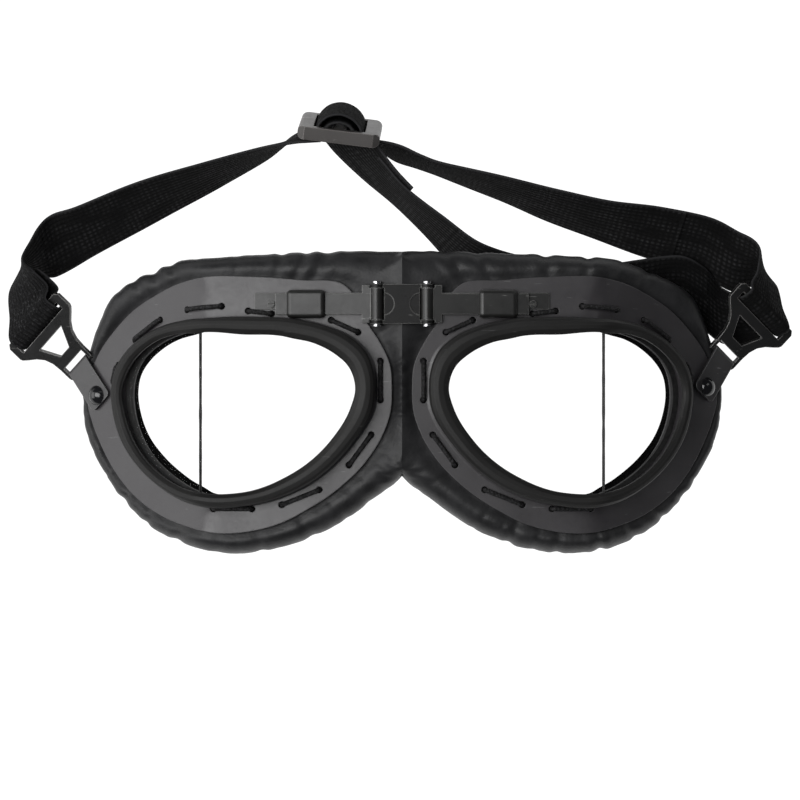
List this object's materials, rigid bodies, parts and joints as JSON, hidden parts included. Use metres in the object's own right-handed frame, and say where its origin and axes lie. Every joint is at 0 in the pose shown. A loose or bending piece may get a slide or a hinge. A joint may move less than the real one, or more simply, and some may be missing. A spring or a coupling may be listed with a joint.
{
  "type": "motorcycle goggles",
  "caption": "Split-lens aviator-style riding goggles: two laced leather-padded eye cups on a hinged bridge, with side links, strap plates and an elastic strap on a slider.",
  "frame": {"origin": "on the plane of symmetry, in the surface that the face pads rest on", "axes": "+X along the width, +Y towards the brow, +Z out of the lenses, away from the face"},
  "size_m": [0.2429, 0.1386, 0.0484],
  "materials": {
    "frame_paint": "satin grey-black enamel",
    "bezel_paint": "satin black enamel",
    "bridge_metal": "satin black enamel with bright cut edges",
    "plate_paint": "semi-gloss black enamel",
    "link_metal": "smoked nickel",
    "rivet": "black nickel",
    "chrome": "dark nickel",
    "slider_metal": "dark bronze-grey, satin",
    "lens": "clear polycarbonate",
    "rubber": "matt",
    "leather": "soft black hide",
    "foam": "black foam",
    "lace": "waxed black cord",
    "webbing": "ribbed black elastic"
  },
  "bodies": {
    "bridge": {"bridge_plate": "bridge_metal", "hinge_pin_left": "chrome", "hinge_pin_right": "chrome", "nose_gusset": "leather", "strap_left": "webbing", "strap_right_front": "webbing", "strap_right_back": "webbing"},
    "eye_left": {"eye_frame_left": "frame_paint", "lens_bezel_left": "bezel_paint", "lens_gasket_left": "rubber", "lens_front_left": "lens", "lens_side_left": "lens", "pad_cover_left": "leather", "pad_foam_left": "foam", "pad_lacing_left": "lace", "bridge_tongue_left": "bridge_metal", "bridge_base_left": "bridge_metal", "tongue_keeper_left": "bridge_metal", "tongue_screw_left": "chrome", "dome_rivet_left": "rivet", "rivet_washer_left": "chrome"},
    "eye_right": {"eye_frame_right": "frame_paint", "lens_bezel_right": "bezel_paint", "lens_gasket_right": "rubber", "lens_front_right": "lens", "lens_side_right": "lens", "pad_cover_right": "leather", "pad_foam_right": "foam", "pad_lacing_right": "lace", "bridge_tongue_right": "bridge_metal", "bridge_base_right": "bridge_metal", "tongue_keeper_right": "bridge_metal", "tongue_screw_right": "chrome", "dome_rivet_right": "rivet", "rivet_washer_right": "chrome"},
    "link_left": {"side_link_left": "link_metal"},
    "link_right": {"side_link_right": "link_metal"},
    "plate_left": {"strap_plate_left": "plate_paint"},
    "plate_right": {"strap_plate_right": "plate_paint"},
    "slider": {"strap_slider": "slider_metal", "strap_through_slider": "webbing"}
  },
  "joints": [
    {"name": "bridge_hinge_left", "type": "hinge", "parent": "bridge", "child": "eye_left", "pos_m": [-0.0075, 0.0292, 0.0414], "axis": [0, -1, 0], "range_deg": [-8, 14], "deforming": ["pad_cover_left", "pad_cover_right", "pad_foam_left", "pad_foam_right", "nose_gusset", "strap_left", "strap_right_front", "strap_right_back", "strap_through_slider"]},
    {"name": "side_swivel_left", "type": "hinge", "parent": "eye_left", "child": "link_left", "pos_m": [-0.0927, 0.002, 0.01183], "axis": [-0.587, 0, 0.8096], "range_deg": [-8, 25], "deforming": ["strap_left"]},
    {"name": "plate_hinge_left", "type": "hinge", "parent": "link_left", "child": "plate_left", "pos_m": [-0.09874, 0.01089, 0.00745], "axis": [-0.6202, -0.6428, -0.4497], "range_deg": [-25, 40], "deforming": ["strap_left"]},
    {"name": "bridge_hinge_right", "type": "hinge", "parent": "bridge", "child": "eye_right", "pos_m": [0.0075, 0.0292, 0.0414], "axis": [0, 1, 0], "range_deg": [-8, 14], "deforming": ["pad_cover_left", "pad_cover_right", "pad_foam_left", "pad_foam_right", "nose_gusset", "strap_left", "strap_right_front", "strap_right_back", "strap_through_slider"]},
    {"name": "side_swivel_right", "type": "hinge", "parent": "eye_right", "child": "link_right", "pos_m": [0.0927, 0.0046, 0.01183], "axis": [0.587, 0, 0.8096], "range_deg": [-25, 8], "deforming": ["strap_right_front", "strap_right_back"]},
    {"name": "plate_hinge_right", "type": "hinge", "parent": "link_right", "child": "plate_right", "pos_m": [0.09835, 0.01386, 0.00773], "axis": [-0.6466, 0.6018, 0.4688], "range_deg": [-25, 40], "deforming": ["strap_right_front", "strap_right_back"]},
    {"name": "strap_slide", "type": "slide", "parent": "bridge", "child": "slider", "axis": [0.9925, -0.1219, 0], "range_m": [-0.01, 0.01], "deforming": ["strap_left", "strap_right_front", "strap_right_back", "strap_through_slider"]}
  ]
}
